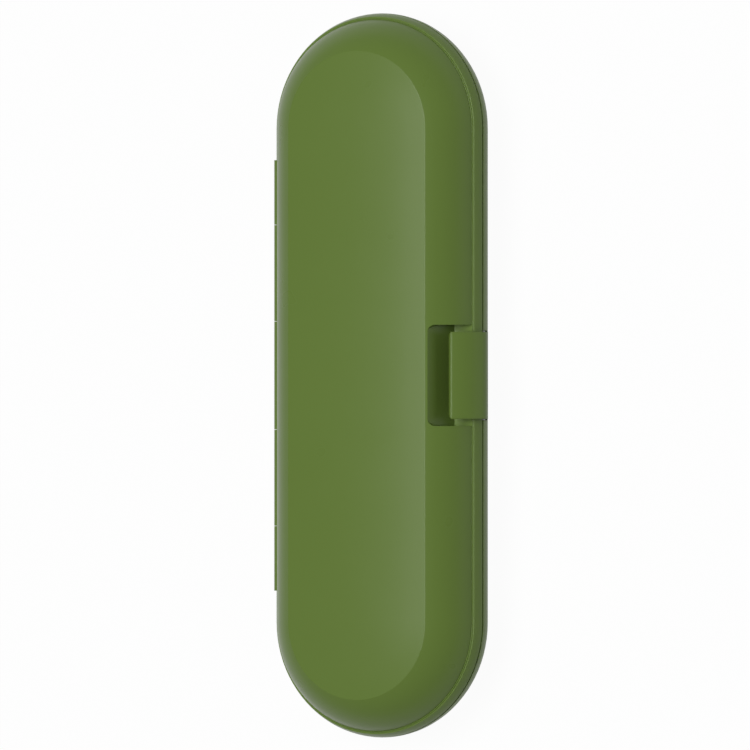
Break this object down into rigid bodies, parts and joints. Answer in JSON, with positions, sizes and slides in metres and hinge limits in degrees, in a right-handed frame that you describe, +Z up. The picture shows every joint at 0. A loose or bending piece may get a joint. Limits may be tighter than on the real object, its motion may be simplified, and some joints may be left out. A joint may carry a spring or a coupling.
{
  "type": "electric toothbrush travel case",
  "caption": "Pill-shaped toothbrush travel case: a domed lid hinged to its base along one side, a curved latch tab in a finger recess, inner trays for the handle and brush heads.",
  "frame": {"origin": "middle of the flat back that the closed case lies on", "axes": "+X along the case; +Y from the latch side towards the hinge side; +Z up, from the flat back to the lid"},
  "size_m": [0.224, 0.0748, 0.0368],
  "materials": {
    "case": "satin",
    "tray": "matte",
    "soft": "matte",
    "steel": "satin"
  },
  "bodies": {
    "base": {"base_shell": "case", "hinge_pin": "steel", "latch_pin": "steel", "base_tray": "tray", "base_tray_screws": "steel", "base_saddle_foot": "soft", "base_saddle_middle": "soft", "base_saddle_neck": "soft"},
    "lid": {"lid_shell": "case", "lid_tray": "tray", "lid_tray_screws": "steel", "lid_saddle_foot": "soft", "lid_saddle_middle": "soft", "lid_saddle_neck": "soft"},
    "latch": {"latch_tab": "case"}
  },
  "joints": [
    {"name": "lid_hinge", "type": "hinge", "parent": "base", "child": "lid", "pos_m": [0, 0.0356, 0.0185], "axis": [-1, 0, 0], "range_deg": [0, 180]},
    {"name": "latch_hinge", "type": "hinge", "parent": "base", "child": "latch", "pos_m": [0, -0.0333, 0.0152], "axis": [1, 0, 0], "range_deg": [0, 80]}
  ]
}
